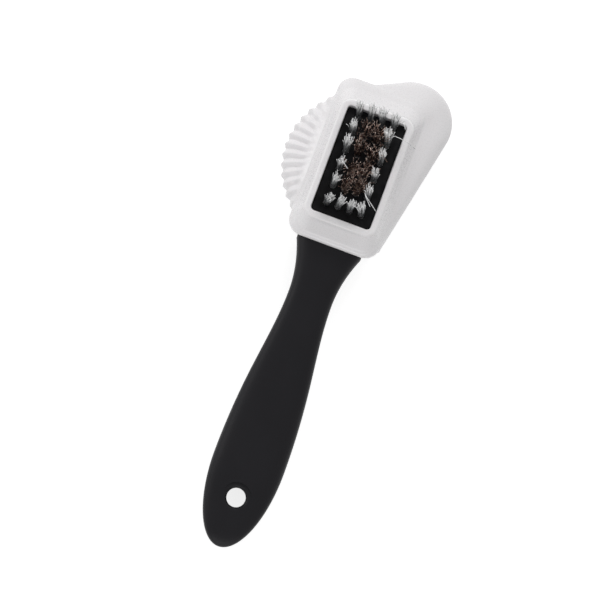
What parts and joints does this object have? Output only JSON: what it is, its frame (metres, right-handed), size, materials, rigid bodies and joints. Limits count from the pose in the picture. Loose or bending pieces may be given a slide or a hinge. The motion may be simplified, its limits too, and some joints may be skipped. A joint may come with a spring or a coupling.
{
  "type": "suede brush",
  "caption": "Shoe brush with a black grip, a white rubber head with a ribbed wheel and a smooth lobe, and a plate of nylon and brass tufts.",
  "frame": {"origin": "middle of the hanging hole, on its axis, halfway through the grip", "axes": "+Y along the grip from the hanging hole to the head (longest extent), +Z along the hanging hole, out of the side that carries the tufts, +X to the side of the smooth lobe"},
  "size_m": [0.0674, 0.2216, 0.0459],
  "materials": {
    "grip_plastic": "fine matt black moulding",
    "head_rubber": "matt white soft rubber",
    "plate_plastic": "satin black moulding",
    "nylon": "translucent white filament",
    "brass_wire": "dull brass wire",
    "anchor_steel": "flat drawn wire"
  },
  "bodies": {
    "root": {"handle": "grip_plastic", "rubber_head": "head_rubber", "bristle_plate": "plate_plastic", "tuft_anchors": "anchor_steel", "nylon_tuft_01": "nylon", "nylon_tuft_02": "nylon", "nylon_tuft_03": "nylon", "nylon_tuft_04": "nylon", "nylon_tuft_05": "nylon", "nylon_tuft_06": "nylon", "nylon_tuft_07": "nylon", "nylon_tuft_08": "nylon", "nylon_tuft_09": "nylon", "nylon_tuft_10": "nylon", "nylon_tuft_11": "nylon", "nylon_tuft_12": "nylon", "nylon_tuft_13": "nylon", "nylon_tuft_14": "nylon", "nylon_tuft_15": "nylon", "nylon_tuft_16": "nylon", "brass_tuft_01": "brass_wire", "brass_tuft_02": "brass_wire", "brass_tuft_03": "brass_wire", "brass_tuft_04": "brass_wire", "brass_tuft_05": "brass_wire", "brass_tuft_06": "brass_wire", "brass_tuft_07": "brass_wire", "brass_tuft_08": "brass_wire"}
  },
  "joints": []
}
